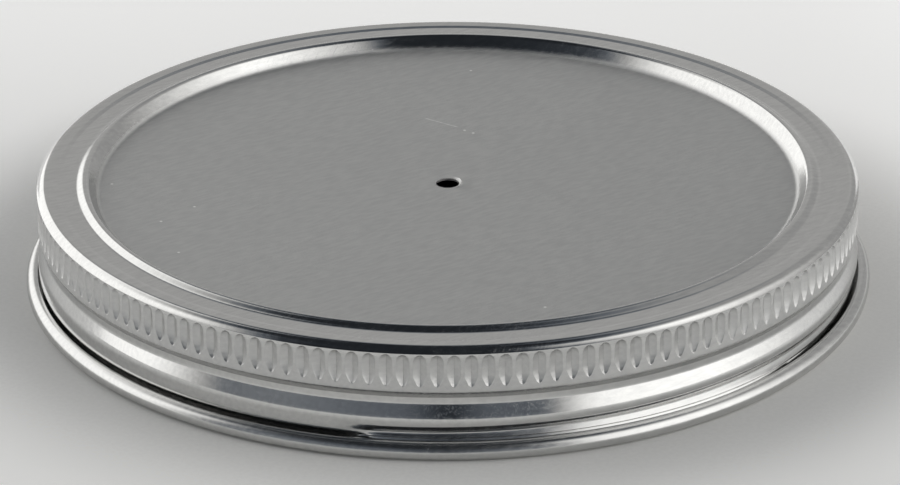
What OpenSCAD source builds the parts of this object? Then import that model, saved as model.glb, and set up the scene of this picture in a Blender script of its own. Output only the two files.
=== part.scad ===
// Screw lid of a glass beverage dispenser, pressed from one disc of tinplate.
// The origin is at the centre of the bottom, the axis is Z, and the closed top is up.
// Heights are measured up from the bottom of the rolled edge, angles from the front to the right.

/* [Sheet] */
// Thickness of the tinplate
sheet_t = 0.3; // [0.25:0.01:0.35]
// Radius of the outer face of the skirt at the finger grip
skirt_r = 56; // [50:0.5:62]
// Height of the flat part of the rim
rim_z = 15.15; // [14.6:0.05:18]

/* [Top panel] */
// How far the panel lies below the flat part of the rim
panel_sink = 1.35; // [0.8:0.05:1.8]
// Distance from the skirt in to the edge of the panel
rim_w = 8.3; // [8:0.1:14]
// Diameter of the vent hole in the middle
vent_d = 3.2; // [2:0.1:12]

/* [Rim] */
// How far the inner bead stands above the flat part of the rim
bead_rise = 0.45; // [0.3:0.05:0.7]
// Width of the slope from the panel up to the crest of the inner bead
bead_slope_w = 1.45; // [1.2:0.05:1.8]
// Width of the crest of the inner bead
bead_crest_w = 0.5; // [0.3:0.05:0.8]
// Width of the slope from the crest down to the flat
bead_fall_w = 0.95; // [0.8:0.05:1.4]
// Distance from the skirt in to the crease of the flat
crease_in = 3.1; // [2.4:0.1:4]
// Rise of the flat from its crease to the outer corner
rim_rise = 0.15; // [0:0.05:0.25]
// Radius of the outer corner
corner_r = 1.3; // [1:0.1:1.5]

/* [Finger grip] */
// Number of pressed grip flutes
flute_count = 160; // [100:1:180]
// Depth of a flute
flute_depth = 0.36; // [0.2:0.02:0.44]
// Width of a flute across its open side
flute_w = 1.75; // [1.2:0.05:1.85]
// Distance from the lower edge of the grip band up to the flutes
flute_foot = 0.65; // [0.4:0.05:1.5]
// Distance from the flat part of the rim down to the flutes
flute_drop = 0.75; // [0.6:0.05:2]
// Angle from the front to the middle of the nearest flute
flute_turn = 0.75; // [-1:0.05:1]

/* [Skirt] */
// Height of the lower edge of the grip band
lip_z = 9.25; // [9:0.05:9.6]
// How far the neck under the grip band lies inside it
neck_depth = 0.6; // [0.45:0.05:0.7]
// Height of the slope from the grip band down to the neck
neck_drop = 1.05; // [0.9:0.05:1.2]
// Height at which the skirt starts to swell out
shoulder_z = 7.25; // [7:0.05:7.4]
// Height at which the slope ends on the widest part of the skirt
swell_z = 5.3; // [5.2:0.05:5.8]
// How far the widest part stands beyond the grip band
swell_out = 0.15; // [0:0.05:0.25]

/* [Thread] */
// Depth of the thread pressed into the skirt
thread_depth = 0.55; // [0.3:0.05:0.65]
// Height of the deepest line of the thread at its start
thread_z = 3.2; // [3.15:0.05:3.25]
// Climb of the thread in one full turn
thread_lead = 2.5; // [1:0.1:2.6]
// Angle at which the thread starts
thread_from = -16; // [-60:1:0]
// Angle that the thread runs through
thread_sweep = 165; // [90:1:170]

/* [Rolled edge] */
// How far the rolled edge stands out from the skirt
curl_out = 1.85; // [1.6:0.05:2.1]
// Height of the rolled edge
curl_h = 2.45; // [2.3:0.05:2.6]
// How far the skirt pulls in beside the rolled edge
waist_in = 0.75; // [0.6:0.05:0.9]
// Distance from the skirt's outer face out to the raw edge
curl_gap = 0.15; // [0.15:0.05:0.4]

/* [Hidden] */

// Angle of one facet on a small bend
bend_step = 18;
// Angle between two rings of the threaded wall
ring_step = 4;
// Overlap of two joined stretches, and of a cutter past the face that it opens
eps = 0.05;

half_t = sheet_t / 2;
panel_r = skirt_r - rim_w;
crest_r = panel_r + bead_slope_w;
flat_r = crest_r + bead_crest_w + bead_fall_w;
flat_r_to_corner = crease_in - corner_r;
corner_z = rim_z + rim_rise * crease_in / flat_r_to_corner;
neck_r = skirt_r - neck_depth;
neck_z = lip_z - neck_drop;
swell_r = skirt_r + swell_out;
waist_r = skirt_r - waist_in;
curl_mid_r = skirt_r + curl_out - half_t;
curl_mid_z = curl_h - half_t;
flute_low_z = lip_z + flute_foot;
flute_top_z = rim_z - flute_drop;

// Bend radii of the middle line of the sheet
panel_bend = 0.8;
crest_bend = 0.6;
flat_bend = 0.7;
lip_bend = 0.3;
swell_bend = 0.8;
curl_bend = (curl_h - sheet_t) / 2 - eps / 2;

// Heights over which a flute runs out at its foot and at its top
foot_run = 0.3;
top_run = 1.1;
// Points of the rounded top of a flute: share of its depth, and share of that height
top_arch = [[1, -1], [0.87, -0.5], [0.5, -0.13], [0, 0]];

// The threaded wall lies between these two heights
wall_top_z = swell_z - 0.45;
wall_low_z = 1.5;

// Middle line of the sheet from the axis to the threaded wall: radius, height and bend radius
upper_line = concat(
    [
        [0, rim_z - panel_sink - half_t, 0],
        [panel_r, rim_z - panel_sink - half_t, panel_bend],
        [crest_r, rim_z + bead_rise - half_t, crest_bend],
        [crest_r + bead_crest_w, rim_z + bead_rise - half_t, crest_bend],
        [flat_r, rim_z - half_t, flat_bend],
        [skirt_r - crease_in, rim_z - half_t, crest_bend],
        [skirt_r - half_t, corner_z - half_t, corner_r - half_t],
        [skirt_r - half_t, lip_z, lip_bend],
        [neck_r - half_t, neck_z, lip_bend],
        [neck_r - half_t, shoulder_z, lip_bend],
        [swell_r - half_t, swell_z, swell_bend],
        [swell_r - half_t, wall_top_z, 0]
    ]
);

// Middle line of the rolled edge from the threaded wall to the raw edge
curl_line = [
    [waist_r - half_t, wall_low_z, 0],
    [waist_r - half_t, half_t, curl_bend],
    [curl_mid_r, half_t, curl_bend],
    [curl_mid_r, curl_mid_z, curl_bend],
    [swell_r + curl_gap, curl_mid_z, 0]
];

// Middle line of the plain lower wall: distance in from the widest part, and height
plain_wall = [
    [0, wall_top_z - 0.2], [0.01, 4.35], [0.02, 4.05], [0.03, 3.75], [0.05, 3.4],
    [0.06, 3], [0.15, 2.6], [0.4, 2.25], [0.65, 2]
];

// The same points where the thread is full: share of its depth, and height above its deepest line
thread_wall = [[0.02, 1.1], [0.2, 0.85], [0.55, 0.45], [0.9, 0.12], [1, -0.05], [0.98, -0.35]];

// The last points, at their own height: near its start the thread fills the recess above the curl
thread_foot = [[0.85, 2.7], [0.4, 2.5], [0.05, 2.35]];
recess_from = 40;
recess_fade = 35;

// Angle over which the thread starts and ends
thread_fade = 8;
// Least height between the deepest line and the wall's top, and above the groove
thread_room = 0.55;
thread_margin = 0.15;

function unit(v) = v / norm(v);
function left_of(v) = [-v[1], v[0]];
function flat2(p) = [p[0], p[1]];
function reversed(list) = [for (i = [len(list) - 1 : -1 : 0]) list[i]];

// Corner i of a line, moved by d to the left of the direction of travel
function moved(line, i, d) =
    let (p = flat2(line[i]), last = len(line) - 1,
        a = i > 0 ? unit(p - flat2(line[i - 1])) : unit(flat2(line[1]) - p),
        b = i < last ? unit(flat2(line[i + 1]) - p) : a,
        na = left_of(a), nb = left_of(b))
    p + d * (na + nb) / (1 + na * nb);

// Points of the bend at corner i of the face that lies d to the left of a line
function bend(line, i, d) =
    let (p = moved(line, i, d), last = len(line) - 1)
    i == 0 || i == last || line[i][2] == 0 ? [p] :
    let (a = unit(p - moved(line, i - 1, d)), b = unit(moved(line, i + 1, d) - p),
        turn = sign(a[0] * b[1] - a[1] * b[0]) * acos(a * b),
        r = line[i][2] - sign(turn) * d,
        centre = p - a * r * tan(abs(turn) / 2) + sign(turn) * r * left_of(a),
        start = left_of(a) * -sign(turn) * r,
        steps = max(1, ceil(abs(turn) / bend_step)))
    [for (k = [0 : steps])
        let (c = cos(turn * k / steps), s = sin(turn * k / steps))
        centre + [start[0] * c - start[1] * s, start[0] * s + start[1] * c]];

// Closed outline of the sheet that follows a line. Its first end can be thicker by start_grow.
function sheet_outline(line, start_grow = 0) =
    let (n = len(line) - 1, half = [for (i = [0 : n]) half_t + (i == 0 ? start_grow : 0)])
    concat([for (i = [0 : n]) each bend(line, i, half[i])],
        reversed([for (i = [0 : n]) each bend(line, i, -half[i])]));

// Smooth step from 0 to 1
function eased(t) = let (s = max(0, min(1, t))) s * s * (3 - 2 * s);

// How much of the thread there is at an angle, from 0 to 1: it fades at both ends
function thread_share(angle) =
    eased(min(angle - thread_from, thread_from + thread_sweep - angle) / thread_fade);

// Height of the deepest line of the thread at an angle
function deep_line(angle) =
    min(thread_z + thread_lead * max(0, angle - thread_from) / 360, wall_top_z - thread_room);

// Middle line of the lower wall at an angle
function wall_line(angle) =
    let (share = thread_share(angle), mid_r = swell_r - half_t, deep_z = deep_line(angle),
        squeeze = min(1, (wall_top_z - thread_margin - deep_z) / thread_wall[0][1]),
        foot_share = share * (1 - eased((angle - recess_from) / recess_fade)))
    concat(
        [[mid_r, wall_top_z + 2 * eps, 0]],
        [for (i = [0 : len(plain_wall) - 1])
            let (plain = plain_wall[i], turns = len(thread_wall), on_thread = i < turns,
                full = on_thread ? thread_wall[i] : thread_foot[i - turns],
                full_z = on_thread ? deep_z + full[1] * (full[1] > 0 ? squeeze : 1) : full[1],
                part = on_thread ? share : foot_share)
            [mid_r - plain[0] * (1 - part) - full[0] * thread_depth * part,
                plain[1] * (1 - part) + full_z * part, 0]],
        [[waist_r - half_t, wall_low_z - 2 * eps, 0]]);

// Lower wall with the thread, swept once around. Its upper end takes in the end of the round sheet.
module threaded_wall() {
    steps = 360 / ring_step;
    sides = len(sheet_outline(wall_line(0)));
    seat = eps + skirt_r * (1 - cos(ring_step / 2));
    points = [for (k = [0 : steps - 1])
        let (a = k * ring_step - 90)
        for (p = sheet_outline(wall_line(a), seat)) [p[0] * sin(a), -p[0] * cos(a), p[1]]];
    faces = [for (k = [0 : steps - 1]) for (j = [0 : sides - 1])
        let (here = k * sides, next = (k + 1) % steps * sides, up = (j + 1) % sides)
        each [[here + j, next + up, here + up], [here + j, next + j, next + up]]];
    polyhedron(points, faces, convexity = 8);
}

// Star of sharp notches, one to each flute, with the notch floor at a given radius
module star(floor_r, low, high) {
    slope = flute_depth / (flute_w / 2);
    peak_r = floor_r + skirt_r * 180 / flute_count * PI / 180 * slope;
    translate([0, 0, low - 1])
        linear_extrude(high - low + 2)
            polygon([for (i = [0 : 2 * flute_count - 1])
                let (a = flute_turn + i * 180 / flute_count, r = i % 2 == 0 ? floor_r : peak_r)
                [r * sin(a), -r * cos(a)]]);
}

// Ring that the grip flutes are taken from: shallow at both ends and full in between
module grip_ring(floor_r, open_r, low, high) {
    depth = open_r - floor_r;
    rotate_extrude($fn = 360)
        polygon(concat(
            [[open_r + eps, low - foot_run * eps / depth], [floor_r, low + foot_run]],
            [for (p = top_arch)
                [open_r - depth * p[0] + (p[0] == 0 ? eps : 0), high + top_run * p[1]]]));
}

// Notches cut into the outer face of the grip band
module flutes() {
    floor_r = skirt_r - flute_depth;
    difference() {
        grip_ring(floor_r, skirt_r, flute_low_z, flute_top_z);
        star(floor_r, flute_low_z, flute_top_z);
    }
}

// Ridges that the flutes raise on the inner face of the sheet
module flute_backs() {
    floor_r = skirt_r - flute_depth - sheet_t;
    difference() {
        grip_ring(floor_r, skirt_r - half_t, flute_low_z - sheet_t / 2, flute_top_z + sheet_t / 2);
        star(floor_r, flute_low_z, flute_top_z);
    }
}

module lid() {
    color("silver")
        difference() {
            union() {
                rotate_extrude($fn = 360) polygon(sheet_outline(upper_line));
                rotate_extrude($fn = 360) polygon(sheet_outline(curl_line));
                threaded_wall();
                flute_backs();
            }
            flutes();
            translate([0, 0, rim_z - panel_sink - 2 * sheet_t])
                cylinder(d = vent_d, h = 3 * sheet_t, $fn = 96);
        }
}

lid();
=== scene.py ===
import math

import bpy
import numpy as np
from mathutils import Matrix, Vector


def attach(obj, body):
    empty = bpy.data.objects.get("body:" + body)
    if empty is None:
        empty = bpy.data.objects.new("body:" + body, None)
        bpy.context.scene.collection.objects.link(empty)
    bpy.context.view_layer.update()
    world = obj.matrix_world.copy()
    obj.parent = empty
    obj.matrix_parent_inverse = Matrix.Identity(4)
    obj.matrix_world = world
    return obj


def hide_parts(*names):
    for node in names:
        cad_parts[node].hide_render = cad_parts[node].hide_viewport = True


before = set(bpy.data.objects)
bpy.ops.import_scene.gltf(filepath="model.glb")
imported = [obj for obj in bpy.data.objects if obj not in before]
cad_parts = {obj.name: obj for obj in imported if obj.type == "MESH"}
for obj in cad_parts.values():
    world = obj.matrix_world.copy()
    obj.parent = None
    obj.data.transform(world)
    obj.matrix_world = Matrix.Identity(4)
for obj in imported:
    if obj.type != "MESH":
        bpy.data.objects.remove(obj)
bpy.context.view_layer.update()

# Screw lid of a glass beverage dispenser, pressed from one disc of tinplate.
# Lengths are millimetres up to the finished mesh, which is in metres. Angles are degrees,
# measured from the front (-Y) towards +X.

MM = 0.001

# The sheet and the top
SHEET_T = 0.3
SKIRT_R = 56
RIM_Z = 15.15
PANEL_SINK = 1.35
PANEL_R = SKIRT_R - 8.3
VENT_R = 1.6
BURR_H = 0.3
BURR_AT = 107
BURR_ROWS = ((0, 0), (0.28, 1), (0.42, 0.4), (0.6, 0))  # out from the hole, share of the height
BEAD_RISE = 0.45
CREST_R = PANEL_R + 1.45
CREST_W = 0.5
FLAT_R = CREST_R + CREST_W + 0.95
CREASE_R = SKIRT_R - 3.1
CREASE_W = 0.65
CREASE_RISE = 0.1
CORNER_RISE = 0.19
CORNER_BEND = 1.3

# The finger grip
FLUTES = 160
FLUTE_PITCH = 360 / FLUTES
FLUTE_DEPTH = 0.42
FLUTE_HALF_W = 0.875
FLUTE_LOW_Z = 9.9
FLUTE_TOP_Z = RIM_Z - 0.75
FLUTE_TURN = 0.75
FOOT_END = 0.22  # height of a pocket's steep foot
FOOT_SHARE = 0.4  # share of its width and depth there
RUN_LOW = 1.4  # heights over which it narrows at its foot and its top
RUN_TOP = 1.1

# The skirt
LIP_Z = 9.25
NECK_R = SKIRT_R - 0.6
NECK_Z = 8.2
SHOULDER_Z = 7.25
SWELL_Z = 5.3
SWELL_R = SKIRT_R + 0.15
WALL_TOP_Z = SWELL_Z - 0.45
WALL_LOW_Z = 1.5

# The thread
THREAD_DEPTH = 0.55
THREAD_Z = 3.2  # the deepest line, where the thread starts
THREAD_LEAD = 2.5  # climb in one turn
THREAD_FROM = -16
THREAD_SWEEP = 165
THREAD_FADE = 8
THREAD_ROOM = 0.55  # least distance from the deepest line to the top of the wall
THREAD_MARGIN = 0.15  # and from the thread's upper end
RECESS_FROM = 40  # where the recess over the rolled edge comes back
RECESS_FADE = 35

# The rolled edge
CURL_OUT = 1.85
CURL_H = 2.45
WAIST_R = SKIRT_R - 0.75
CURL_GAP = 0.15  # from the raw edge to the swell
CURL_FLAT = 0.05  # straight part between its two outer bends

# The mesh
COARSE = 2 * FLUTES  # columns around the lid
MIDDLE = 4 * FLUTES
FINE = 8 * FLUTES
OUTER_STEP = 9  # degrees of a bend from one row to the next
INNER_STEP = 24
WALL_STEPS = 2  # rows from one point of the lower wall to the next
LONG_STRETCH = 0.3  # a longer straight stretch gets a row near each end
STRETCH_END = 0.08
FLUTE_MARGIN = 0.12  # from the flutes to the plain rows beside them
PANEL_ROWS = (2, 8, 20, 34)  # distances out from the hole
INNER_PANEL_ROWS = (30, 10, 1, 0)
SHARP_ANGLE = 38


# Section lines

HALF_T = SHEET_T / 2
CURL_BEND = (CURL_H - SHEET_T - CURL_FLAT) / 2


def unit(v):
    return v / np.linalg.norm(v)


def left_of(v):
    return np.array([-v[1], v[0]])


def moved_corner(line, i, d):
    """Corner i of a line, moved by d to the left of the direction of travel"""
    points = [np.array(p[:2], float) for p in line]
    last = len(line) - 1
    a = unit(points[i] - points[i - 1]) if i > 0 else unit(points[1] - points[0])
    b = unit(points[i + 1] - points[i]) if i < last else a
    na, nb = left_of(a), left_of(b)
    return points[i] + d * (na + nb) / (1 + na @ nb)


def bend(line, i, d, step):
    """Points of the bend at corner i, on the face that lies d to the left of the line"""
    p = moved_corner(line, i, d)
    if i in (0, len(line) - 1) or line[i][2] == 0:
        return [p]
    a = unit(p - moved_corner(line, i - 1, d))
    b = unit(moved_corner(line, i + 1, d) - p)
    cross = a[0] * b[1] - a[1] * b[0]
    side = math.copysign(1, cross)
    turn = side * math.acos(max(-1, min(1, a @ b)))
    radius = line[i][2] - side * d
    centre = p - a * radius * math.tan(abs(turn) / 2) + side * radius * left_of(a)
    start = left_of(a) * -side * radius
    steps = max(2, math.ceil(math.degrees(abs(turn)) / step))
    found = []
    for k in range(steps + 1):
        c, s = math.cos(turn * k / steps), math.sin(turn * k / steps)
        found.append(centre + np.array([start[0] * c - start[1] * s, start[0] * s + start[1] * c]))
    return found


def face_points(line, d, step):
    """Points of one face of the sheet, with a point near each end of every long straight stretch"""
    found = []
    for i in range(len(line)):
        arc = bend(line, i, d, step)
        if found:
            gap = arc[0] - found[-1]
            length = np.linalg.norm(gap)
            if length > LONG_STRETCH:
                ends = STRETCH_END / length
                found.append(found[-1] + gap * ends)
                found.append(arc[0] - gap * ends)
        found.extend(arc)
    return found


# Middle lines of the sheet: radius, height and the radius of the bend there
TOP_LINE = [
    (VENT_R, RIM_Z - PANEL_SINK - HALF_T, 0),
    (PANEL_R, RIM_Z - PANEL_SINK - HALF_T, 0.8),
    (CREST_R, RIM_Z + BEAD_RISE - HALF_T, 0.5),
    (CREST_R + CREST_W, RIM_Z + BEAD_RISE - HALF_T, 1.1),
    (FLAT_R, RIM_Z - HALF_T, 1.6),
    (CREASE_R, RIM_Z - HALF_T, 0.2),
    (CREASE_R + CREASE_W, RIM_Z + CREASE_RISE - HALF_T, 0.25),
    (SKIRT_R - HALF_T, RIM_Z + CORNER_RISE - HALF_T, CORNER_BEND - HALF_T),
    (SKIRT_R - HALF_T, LIP_Z, 0.3),
    (NECK_R - HALF_T, NECK_Z, 0.3),
    (NECK_R - HALF_T, SHOULDER_Z, 1.2),
    (SWELL_R - HALF_T, SWELL_Z, 2),
    (SWELL_R - HALF_T, WALL_TOP_Z, 0),
]

CURL_MID_R = SKIRT_R + CURL_OUT - HALF_T
CURL_LINE = [
    (WAIST_R - HALF_T, WALL_LOW_Z, 0),
    (WAIST_R - HALF_T, HALF_T, CURL_BEND),
    (CURL_MID_R, HALF_T, CURL_BEND),
    (CURL_MID_R, CURL_H - HALF_T, CURL_BEND),
    (SWELL_R + CURL_GAP, CURL_H - HALF_T, 0),
]

# Plain lower wall: distance in from the swell, and height
PLAIN_WALL = np.array([
    (0, WALL_TOP_Z - 0.2), (0.01, 4.35), (0.01, 4.05), (0.02, 3.75), (0.05, 3.4),
    (0.12, 3.1), (0.36, 2.85), (0.6, 2.5), (0.75, 2.1),
])

# Full thread: share of its depth, and height above its deepest line. The foot keeps its own height.
THREAD_WALL = np.array([
    (0.02, 1.1), (0.22, 0.85), (0.58, 0.45), (0.92, 0.12), (1, -0.05), (0.84, -0.35),
])
THREAD_FOOT = np.array([(0.56, 2.75), (0.36, 2.56), (-0.12, 2.38)])


def eased(t):
    t = np.clip(t, 0, 1)
    return t * t * (3 - 2 * t)


def thread_share(angle):
    return eased(np.minimum(angle - THREAD_FROM, THREAD_FROM + THREAD_SWEEP - angle) / THREAD_FADE)


def foot_share(angle):
    """How far the thread fills the recess over the rolled edge, which comes back as it climbs"""
    return thread_share(angle) * (1 - eased((angle - RECESS_FROM) / RECESS_FADE))


def wall_middle(angle):
    """Middle line of the lower wall at every angle: an array of (points, angles, 2)"""
    mid_r = SWELL_R - HALF_T
    share = thread_share(angle)
    foot = foot_share(angle)
    deep_z = np.minimum(THREAD_Z + THREAD_LEAD * np.clip(angle - THREAD_FROM, 0, None) / 360,
                        WALL_TOP_Z - THREAD_ROOM)
    squeeze = np.minimum(1, (WALL_TOP_Z - THREAD_MARGIN - deep_z) / THREAD_WALL[0][1])
    line = [np.stack([np.full_like(angle, mid_r), np.full_like(angle, WALL_TOP_Z)], 1)]
    for i, (inward, height) in enumerate(PLAIN_WALL):
        if i < len(THREAD_WALL):
            part, mix = THREAD_WALL[i], share
            full_z = deep_z + part[1] * (squeeze if part[1] > 0 else 1)
        else:
            part, mix = THREAD_FOOT[i - len(THREAD_WALL)], foot
            full_z = np.full_like(angle, part[1])
        r = mid_r - inward * (1 - mix) - part[0] * THREAD_DEPTH * mix
        line.append(np.stack([r, height * (1 - mix) + full_z * mix], 1))
    end = [np.full_like(angle, WAIST_R - HALF_T), np.full_like(angle, WALL_LOW_Z)]
    line.append(np.stack(end, 1))
    return np.array(line)


def rounded(line, between):
    """The rows of a line on a smooth curve (Catmull-Rom), each stretch in so many parts"""
    n = len(line)
    found = []
    for i in range(n - 1):
        p0, p1, p2, p3 = line[max(i - 1, 0)], line[i], line[i + 1], line[min(i + 2, n - 1)]
        square, cube = 2 * p0 - 5 * p1 + 4 * p2 - p3, 3 * p1 - p0 - 3 * p2 + p3
        for k in range(between):
            t = k / between
            found.append(0.5 * (2 * p1 + (p2 - p0) * t + square * t ** 2 + cube * t ** 3))
    found.append(line[-1])
    return np.array(found)


def offset_rows(line, d):
    """Rows of a face that lies d to the left of a line given at every angle"""
    step = np.diff(line, axis=0)
    step = step / np.linalg.norm(step, axis=2, keepdims=True)
    before = np.concatenate([step[:1], step])
    after = np.concatenate([step, step[-1:]])
    na = np.stack([-before[..., 1], before[..., 0]], 2)
    nb = np.stack([-after[..., 1], after[..., 0]], 2)
    return line + d * (na + nb) / (1 + (na * nb).sum(2, keepdims=True))


# Rows of the mesh: each is a ring of (angle, radius, height) columns, in order round the section

rows = []


def add_row(angle, radius, height):
    rows.append(np.stack([angle, radius, height], 1))


def coarse_angles():
    return FLUTE_TURN + np.arange(COARSE) * 360 / COARSE


def signed(angle):
    """The same angles between -180 and 180"""
    return (angle + 180) % 360 - 180


# A pocket's section: share of its half width, and share of its depth there
HALF_W_SHARE = math.degrees(FLUTE_HALF_W / SKIRT_R) / FLUTE_PITCH
POCKET_COLUMNS = (0, 0.14, 0.62, 1)
POCKET_DEPTHS = (1.15, 0.96, 0.62, 0)
MIN_POCKET_W = 0.2
TOP_RUN_SHARES = (0, 0.03, 0.1, 0.22, 0.4, 0.65, 1)
FOOT_HEIGHTS = (RUN_LOW, 0.95, 0.55, FOOT_END, FOOT_END / 2, 0)


def arch(height):
    """Share of the full width and depth that a pocket has at a height: rounded top, narrowing foot"""
    s = min(1, max(0, (FLUTE_TOP_Z - height) / RUN_TOP))
    foot = np.interp(height - FLUTE_LOW_Z, (0, FOOT_END, RUN_LOW), (0, FOOT_SHARE, 1))
    return math.sqrt(1 - (1 - s) ** 2) * float(foot)


def add_flute_row(height, radius):
    """Fine row through the pockets. The columns close in where the pocket narrows."""
    share = arch(height)
    width = max(share, MIN_POCKET_W)
    half = HALF_W_SHARE * width
    offsets = [0, half * POCKET_COLUMNS[1], half * POCKET_COLUMNS[2], half, 0.5,
               1 - half, 1 - half * POCKET_COLUMNS[2], 1 - half * POCKET_COLUMNS[1]]
    depths = []
    for offset in offsets:
        across = min(offset, 1 - offset) / HALF_W_SHARE
        deep = np.interp(across / width, POCKET_COLUMNS, POCKET_DEPTHS) * share
        depths.append(FLUTE_DEPTH * deep)
    flute = np.repeat(np.arange(FLUTES), 8)
    angle = FLUTE_TURN + (flute + np.tile(offsets, FLUTES)) * FLUTE_PITCH
    add_row(angle, radius - np.tile(depths, FLUTES), np.full(FINE, height))


def add_inner_flute_row(height, radius):
    """Row along the ridges that the pockets raise on the inside"""
    share = arch(height)
    angle = FLUTE_TURN + np.arange(MIDDLE) * 360 / MIDDLE
    across = np.tile((0, 0.25, 0.5, 0.25), FLUTES) / HALF_W_SHARE
    depth = FLUTE_DEPTH * np.clip(share - across, 0, None)
    add_row(angle, radius - depth, np.full(MIDDLE, height))


def flute_heights():
    """Heights of the flute rows from the top down, through every corner of the pocket's outline"""
    top = [FLUTE_TOP_Z - RUN_TOP * s for s in TOP_RUN_SHARES]
    foot = [FLUTE_LOW_Z + h for h in FOOT_HEIGHTS]
    middle = [(FLUTE_TOP_Z - RUN_TOP + FLUTE_LOW_Z + RUN_LOW) / 2]
    return [FLUTE_TOP_Z + FLUTE_MARGIN] + top + middle + foot + [FLUTE_LOW_Z - FLUTE_MARGIN]


def split_face(points):
    """The parts of a face before and after the flutes"""
    high, low = FLUTE_TOP_Z + 2 * FLUTE_MARGIN, FLUTE_LOW_Z - 2 * FLUTE_MARGIN
    last = max(i for i, p in enumerate(points) if p[1] > high)
    return points[:last + 1], [p for p in points[last + 1:] if p[1] < low]


def add_round_rows(points):
    for radius, height in points:
        add_row(coarse_angles(), np.full(COARSE, radius), np.full(COARSE, height))


def add_wall_rows(rings):
    for ring in rings:
        add_row(coarse_angles(), ring[:, 0], ring[:, 1])


def add_panel_rows(edge, widths):
    """Rows on the flat panel, at widths out from the hole's edge"""
    add_round_rows([edge + np.array([w, 0]) for w in widths])


def add_burr(edge):
    """Rows from the hole's edge, raised on one side to a burr"""
    angle = coarse_angles()
    burr = BURR_H * np.clip(np.cos(np.radians(angle - BURR_AT)), 0, 1) ** 2
    for width, share in BURR_ROWS:
        add_row(angle, np.full(COARSE, edge[0] + width), edge[1] + burr * share)


def add_outer_rows(wall):
    """The rows along the outside, from the hole to the raw edge"""
    above, below = split_face(face_points(TOP_LINE, HALF_T, OUTER_STEP))
    add_burr(above[0])
    add_panel_rows(above[0], PANEL_ROWS)
    add_round_rows(above[2:])
    for height in flute_heights():
        add_flute_row(height, SKIRT_R)
    add_round_rows(below[:-1])
    add_wall_rows(offset_rows(wall, HALF_T)[:-1])
    add_round_rows(face_points(CURL_LINE, HALF_T, OUTER_STEP))


def add_inner_rows(wall):
    """The rows back along the inside, which are fewer than on the outside"""
    above, below = split_face(face_points(TOP_LINE, -HALF_T, INNER_STEP))
    add_round_rows(face_points(CURL_LINE, -HALF_T, INNER_STEP)[::-1])
    add_wall_rows(offset_rows(wall, -HALF_T)[::-2][1:])
    add_round_rows(below[:-1][::-1])
    for height in flute_heights()[::-2]:
        add_inner_flute_row(height, SKIRT_R - SHEET_T)
    add_round_rows(above[2:][::-1])
    add_panel_rows(above[0], INNER_PANEL_ROWS)


def stitched(a, b, count_a, count_b):
    """Triangles between rings that start at vertices a and b. One count is a multiple of the other."""
    if count_a > count_b:
        return [(p, r, q) for p, q, r in stitched(b, a, count_b, count_a)]
    ratio = count_b // count_a
    found = []
    if ratio == 1:
        for j in range(count_a):
            k = (j + 1) % count_a
            mirrored = count_a == FINE and j % 8 >= 4  # both halves of a pocket alike
            if mirrored:
                found.append((a + j, b + j, b + k))
                found.append((a + j, b + k, a + k))
            else:
                found.append((a + j, b + j, a + k))
                found.append((a + k, b + j, b + k))
        return found
    for j in range(count_a):
        k = (j + 1) % count_a
        middle = ratio // 2
        for m in range(ratio):
            here, there = b + j * ratio + m, b + (j * ratio + m + 1) % count_b
            found.append(((a + j) if m < middle else (a + k), here, there))
        found.append((a + j, b + j * ratio + middle, a + k))
    return found


def lid_mesh():
    wall = rounded(wall_middle(signed(coarse_angles())), WALL_STEPS)
    add_outer_rows(wall)
    add_inner_rows(wall)
    starts = np.cumsum([0] + [len(r) for r in rows])
    ring = np.concatenate(rows)
    angle = np.radians(ring[:, 0])
    vertices = np.stack([ring[:, 1] * np.sin(angle), -ring[:, 1] * np.cos(angle), ring[:, 2]], 1) * MM
    faces = []
    for i in range(len(rows)):
        k = (i + 1) % len(rows)
        faces.extend(stitched(int(starts[i]), int(starts[k]), len(rows[i]), len(rows[k])))
    faces = np.array(faces)
    corners = vertices[faces]
    normals = np.cross(corners[:, 1], corners[:, 2])
    if (corners[:, 0] * normals).sum() < 0:
        faces = faces[:, ::-1]
    mesh = bpy.data.meshes.new("lid_sheet")
    mesh.from_pydata(vertices.tolist(), [], faces.tolist())
    mesh.update()
    mesh.shade_smooth()
    mesh.set_sharp_from_angle(angle=math.radians(SHARP_ANGLE))
    return mesh


lid = bpy.data.objects.new("lid_sheet", lid_mesh())
bpy.context.scene.collection.objects.link(lid)
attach(lid, "root")
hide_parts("lid")


# Node helpers

def add_node(tree, kind, links=None, **values):
    """Adds a node. links maps its inputs to sockets or numbers, values are its own settings."""
    made = tree.nodes.new(kind)
    for name, value in values.items():
        setattr(made, name, value)
    for key, source in (links or {}).items():
        socket = made.inputs[key]
        if isinstance(source, bpy.types.NodeSocket):
            tree.links.new(source, socket)
        else:
            socket.default_value = source
    return made


def math_node(tree, operation, a, b=0.0, clamp=False):
    made = add_node(tree, "ShaderNodeMath", {0: a, 1: b}, operation=operation, use_clamp=clamp)
    return made.outputs[0]


def plus(tree, a, b):
    return math_node(tree, "ADD", a, b)


def times(tree, a, b):
    return math_node(tree, "MULTIPLY", a, b)


def ramp(tree, value, low, high, out_low=0.0, out_high=1.0):
    """Smooth step of a value between low and high"""
    links = {"Value": value, "From Min": low, "From Max": high, "To Min": out_low, "To Max": out_high}
    made = add_node(tree, "ShaderNodeMapRange", links, interpolation_type="SMOOTHSTEP")
    return made.outputs["Result"]


def vector_node(tree, operation, links):
    return add_node(tree, "ShaderNodeVectorMath", links, operation=operation).outputs


def noise(tree, place, scale, detail):
    links = {"Vector": place, "Scale": scale, "Detail": detail}
    return add_node(tree, "ShaderNodeTexNoise", links).outputs["Fac"]


def mixed_colour(tree, factor, a, b):
    """Colour from a to b. The colour sockets of a mix node are its inputs 6 and 7 and output 2."""
    return add_node(tree, "ShaderNodeMix", {0: factor, 6: a, 7: b}, data_type="RGBA").outputs[2]


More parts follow.
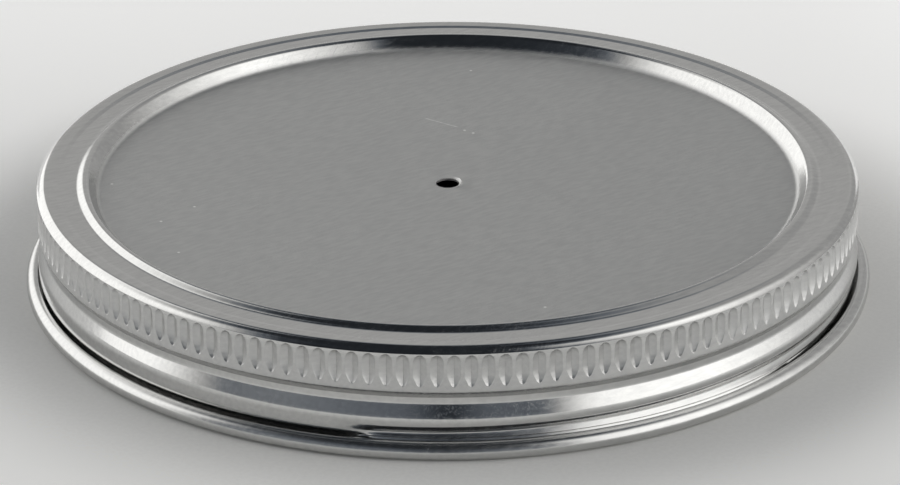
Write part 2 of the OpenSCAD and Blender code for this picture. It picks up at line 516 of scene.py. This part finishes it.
# Tinplate: matt on the flat panel, satin on the pressed grip, glossy on the bends

# Places on the panel, in millimetres
SCRATCH = ((-3.19, 22.72), (1.45, 19.44))
SCRATCH_W = 0.12
DUST_SPOTS = (
    (-45.9, 0.3), (-34.3, -7.5), (-35.8, -22.4), (-38.6, -12.3),
    (3.4, 40), (12.6, -40.2), (2.4, 18.3), (3.6, 17.3),
)
DUST_W = 0.26

# Edges between the zones, in metres: a radius, then heights
PANEL_EDGE = (0.0474, 0.0484)
GRIP_FOOT = (0.0089, 0.0094)
GRIP_TOP = (0.0138, 0.0145)
LOW_EDGE = (0.0028, 0.0046)
MARKS_FADE = (0.0035, 0.0055)

# Roughness of the bends, and what each zone adds
BEND_ROUGH = 0.12
PANEL_ROUGH = 0.16
GRIP_ROUGH = 0.3
LOW_ROUGH = 0.1
GRAIN_ROUGH = 0.03
MARKS_ROUGH = 0.12

TIN_DARK = (0.585, 0.585, 0.58, 1)
TIN_LIGHT = (0.66, 0.66, 0.65, 1)
DUST_COLOUR = (0.92, 0.92, 0.9, 1)


def streaks(tree, place, turn, scale, stretch, detail):
    """Noise drawn out along one direction"""
    across = 1 / (scale * stretch)
    mapped = add_node(tree, "ShaderNodeMapping",
                      {"Vector": place, "Rotation": turn, "Scale": (1 / scale, across, across)},
                      vector_type="TEXTURE")
    return noise(tree, mapped.outputs[0], 1, detail)


def near_line(tree, place, a, b, width):
    """Mask of a fine line from a to b on the panel, in millimetres"""
    a, b = Vector((*a, 0)) * MM, Vector((*b, 0)) * MM
    along = b - a
    offset = vector_node(tree, "SUBTRACT", {0: place, 1: a})[0]
    flat = vector_node(tree, "MULTIPLY", {0: offset, 1: (1, 1, 0)})[0]
    share = vector_node(tree, "DOT_PRODUCT", {0: flat, 1: along / along.length_squared})["Value"]
    on_line = math_node(tree, "ADD", share, 0.0, clamp=True)
    foot = vector_node(tree, "SCALE", {0: along, "Scale": on_line})[0]
    gap = vector_node(tree, "DISTANCE", {0: flat, 1: foot})["Value"]
    return ramp(tree, gap, width * 0.4 * MM, width * MM, 1, 0)


def fine_marks(tree, place, z):
    """Two crossing sets of fine marks, in patches, weaker near the rolled edge"""
    cloud = noise(tree, place, 60, 3)
    fine = streaks(tree, place, (0.3, 0.9, 0.4), 130, 42, 0)
    crossed = streaks(tree, place, (-0.4, -0.7, 1), 110, 45, 0)
    marks = math_node(tree, "MAXIMUM", ramp(tree, fine, 0.6, 0.72), ramp(tree, crossed, 0.62, 0.74))
    marks = times(tree, marks, ramp(tree, cloud, 0.42, 0.64))
    return times(tree, marks, ramp(tree, z, *MARKS_FADE, 0.2, 1))


def specks(tree, place, grain, panel):
    """Mask of the dust and of the one scratch, which shows bright as dust does"""
    cells = add_node(tree, "ShaderNodeTexVoronoi", {"Vector": place, "Scale": 170})
    chance = add_node(tree, "ShaderNodeSeparateXYZ", {0: cells.outputs["Color"]}).outputs[0]
    dust = times(tree, ramp(tree, cells.outputs["Distance"], 0.008, 0.018, 1, 0),
                 ramp(tree, chance, 0.72, 0.78))
    for spot in DUST_SPOTS:
        there = near_line(tree, place, spot, (spot[0] + 0.01, spot[1]), DUST_W)
        dust = math_node(tree, "MAXIMUM", dust, times(tree, there, panel))
    scratch = times(tree, near_line(tree, place, *SCRATCH, SCRATCH_W), panel)
    scratch = times(tree, scratch, ramp(tree, grain, 0.35, 0.6, 0.25, 0.7))
    return math_node(tree, "MAXIMUM", dust, scratch)


def tinplate():
    material = bpy.data.materials.new("tinplate")
    material.use_nodes = True
    tree = material.node_tree
    shader = tree.nodes["Principled BSDF"]
    place = add_node(tree, "ShaderNodeTexCoord").outputs["Object"]
    x, y, z = add_node(tree, "ShaderNodeSeparateXYZ", {0: place}).outputs
    radius = math_node(tree, "SQRT", plus(tree, times(tree, x, x), times(tree, y, y)))
    panel = ramp(tree, radius, *PANEL_EDGE, 1, 0)
    grip = times(tree, ramp(tree, z, *GRIP_FOOT), ramp(tree, z, *GRIP_TOP, 1, 0))
    low = ramp(tree, z, *LOW_EDGE, 1, 0)
    grain = streaks(tree, place, (0, 0, 0.6), 450, 4, 3)
    marks = fine_marks(tree, place, z)
    dust = specks(tree, place, grain, panel)

    rough = plus(tree, BEND_ROUGH, times(tree, panel, PANEL_ROUGH))
    rough = plus(tree, rough, times(tree, grip, GRIP_ROUGH))
    rough = plus(tree, rough, times(tree, low, LOW_ROUGH))
    rough = plus(tree, rough, ramp(tree, grain, 0.3, 0.7, -GRAIN_ROUGH, GRAIN_ROUGH))
    rough = plus(tree, rough, times(tree, marks, MARKS_ROUGH))
    tree.links.new(rough, shader.inputs["Roughness"])

    tone = mixed_colour(tree, ramp(tree, grain, 0.25, 0.75), TIN_DARK, TIN_LIGHT)
    tree.links.new(mixed_colour(tree, dust, tone, DUST_COLOUR), shader.inputs["Base Color"])
    tree.links.new(math_node(tree, "SUBTRACT", 1, dust), shader.inputs["Metallic"])
    height = plus(tree, times(tree, grain, panel), times(tree, marks, 0.5))
    bump = add_node(tree, "ShaderNodeBump", {"Height": height, "Strength": 0.1, "Distance": 0.00002})
    tree.links.new(bump.outputs[0], shader.inputs["Normal"])
    return material


lid.data.materials.append(tinplate())


# Floor: pale, with painted light on it. Its colour is a little lighter towards the back, and to the
# camera and in reflections it is lifted by a faint painted light of its own, stronger at the back and on
# the +X side. Near the lid that light fades out, where the rendered shadow stays and the floor is left
# darker. Places in metres.

FLOOR_HALF = 1.5
FLOOR_DEPTH = (-0.07, 0.14)
FLOOR_FRONT = (0.93, 0.925, 0.905, 1)
FLOOR_BACK = (0.96, 0.955, 0.94, 1)
FLOOR_GRAIN = (0.965, 1)
LIFT_DEPTH = (-0.02, 0.13)
FLOOR_LIFT = (0.18, 0.33)
LIFT_SIDE = (0.045, 0.13)
FLOOR_SIDE_LIFT = 0.2
LIFT_FROM = (0.055, 0.085)


# Painted light: a glow seen only by camera, glossy and transmission rays, stronger towards the back and
# on the +X side, faded out near the lid so that the floor there is darker
def painted_floor_light(tree, place, across, depth):
    path = add_node(tree, "ShaderNodeLightPath")
    seen = plus(tree, path.outputs["Is Camera Ray"], path.outputs["Is Glossy Ray"])
    seen = math_node(tree, "ADD", seen, path.outputs["Is Transmission Ray"], clamp=True)
    lift = times(tree, seen, ramp(tree, depth, *LIFT_DEPTH, *FLOOR_LIFT))
    lift = plus(tree, lift, times(tree, seen, ramp(tree, across, *LIFT_SIDE, 0, FLOOR_SIDE_LIFT)))
    return times(tree, lift, ramp(tree, vector_node(tree, "LENGTH", {0: place})["Value"], *LIFT_FROM))


def floor_material():
    material = bpy.data.materials.new("pale_floor")
    material.use_nodes = True
    tree = material.node_tree
    shader = tree.nodes["Principled BSDF"]
    shader.inputs["Roughness"].default_value = 0.9
    shader.inputs["Specular IOR Level"].default_value = 0.1
    place = add_node(tree, "ShaderNodeTexCoord").outputs["Object"]
    across, depth, _ = add_node(tree, "ShaderNodeSeparateXYZ", {0: place}).outputs
    # Painted light: the floor colour gets a little lighter towards the back
    tone = mixed_colour(tree, ramp(tree, depth, *FLOOR_DEPTH), FLOOR_FRONT, FLOOR_BACK)
    grain = noise(tree, place, 1600, 2)
    speck = ramp(tree, grain, 0.3, 0.7, *FLOOR_GRAIN)
    colour = vector_node(tree, "SCALE", {0: tone, "Scale": speck})[0]
    tree.links.new(colour, shader.inputs["Base Color"])
    tree.links.new(painted_floor_light(tree, place, across, depth), shader.inputs["Emission Strength"])
    shader.inputs["Emission Color"].default_value = (1, 1, 1, 1)
    return material


def add_floor():
    h = FLOOR_HALF
    mesh = bpy.data.meshes.new("floor")
    mesh.from_pydata([(-h, -h, 0), (h, -h, 0), (h, h, 0), (-h, h, 0)], [], [(0, 1, 2, 3)])
    mesh.materials.append(floor_material())
    made = bpy.data.objects.new("floor", mesh)
    bpy.context.scene.collection.objects.link(made)


add_floor()


# Studio light: soft fields in a dark room. Azimuth is from the back (+Y) towards +X. Each field has
# the azimuths where it starts, is full, is still full and ends, the elevations of the same, and a level.

LIGHT_FIELDS = (
    ((-120, -92, -20, -14), (-20, 0, 36, 64), 1.3),
    ((-175, -100, -20, -14), (-20, 0, 30, 60), 0.15),
    ((45, 108, 138, 156), (-20, 0, 42, 64), 1.25),
    ((-18, -13, 8, 24), (-30, -10, 24, 48), 0.45),
    ((6, 24, 100, 160), (-30, -10, 50, 76), 0.38),
    ((100, 160, 168, 182), (-30, -10, 5, 50), 0.15),
    ((-182, -166, -140, -100), (-30, -10, 5, 50), 0.15),
    ((-200, -199, 199, 200), (-95, -90, -5, 10), 0.06),
)
ROOM_LIGHT = 0.025
TINT_LEVELS = (0.03, 0.45)
TINT_DARK = (0.8, 0.92, 1.1, 1)
TINT_LIGHT = (1, 0.995, 0.98, 1)


def within(tree, value, edges):
    """1 between the two middle edges, and 0 beyond the outer ones"""
    return times(tree, ramp(tree, value, *edges[:2]), ramp(tree, value, *edges[2:], 1, 0))


def angle_node(tree, operation, *values):
    """The result of an inverse function in degrees"""
    return times(tree, math_node(tree, operation, *values), 180 / math.pi)


def add_world():
    world = bpy.data.worlds.new("studio")
    bpy.context.scene.world = world
    world.use_nodes = True
    tree = world.node_tree
    background = tree.nodes["Background"]
    direction = add_node(tree, "ShaderNodeTexCoord").outputs["Generated"]
    x, y, z = add_node(tree, "ShaderNodeSeparateXYZ", {0: direction}).outputs
    azimuth = angle_node(tree, "ARCTAN2", x, y)
    elevation = angle_node(tree, "ARCSINE", z)
    total = ROOM_LIGHT
    for azimuths, elevations, level in LIGHT_FIELDS:
        shape = times(tree, within(tree, azimuth, azimuths), within(tree, elevation, elevations))
        total = plus(tree, total, times(tree, shape, level))
    tree.links.new(total, background.inputs["Strength"])
    tint = mixed_colour(tree, ramp(tree, total, *TINT_LEVELS), TINT_DARK, TINT_LIGHT)
    tree.links.new(tint, background.inputs["Color"])


add_world()


# Camera: the photo's view, fitted to the lid's outline, beads and edges. Its place is in millimetres.

CAMERA_PLACE = (0.284, -690.15, 317.37)
CAMERA_DOWN = 24.36
CAMERA_ROLL = 0.301
FOCAL_PIXELS = 5517.4
PHOTO_WIDTH = 900
SENSOR = 36


def add_camera():
    data = bpy.data.cameras.new("camera")
    data.sensor_width = SENSOR
    data.lens = FOCAL_PIXELS / PHOTO_WIDTH * SENSOR
    made = bpy.data.objects.new("camera", data)
    bpy.context.scene.collection.objects.link(made)
    down, roll = math.radians(CAMERA_DOWN), math.radians(CAMERA_ROLL)
    turn = Matrix.Rotation(math.pi / 2 - down, 4, "X") @ Matrix.Rotation(-roll, 4, "Z")
    made.matrix_world = Matrix.Translation(Vector(CAMERA_PLACE) * MM) @ turn
    bpy.context.scene.camera = made


add_camera()
bpy.context.scene.view_settings.view_transform = "Standard"
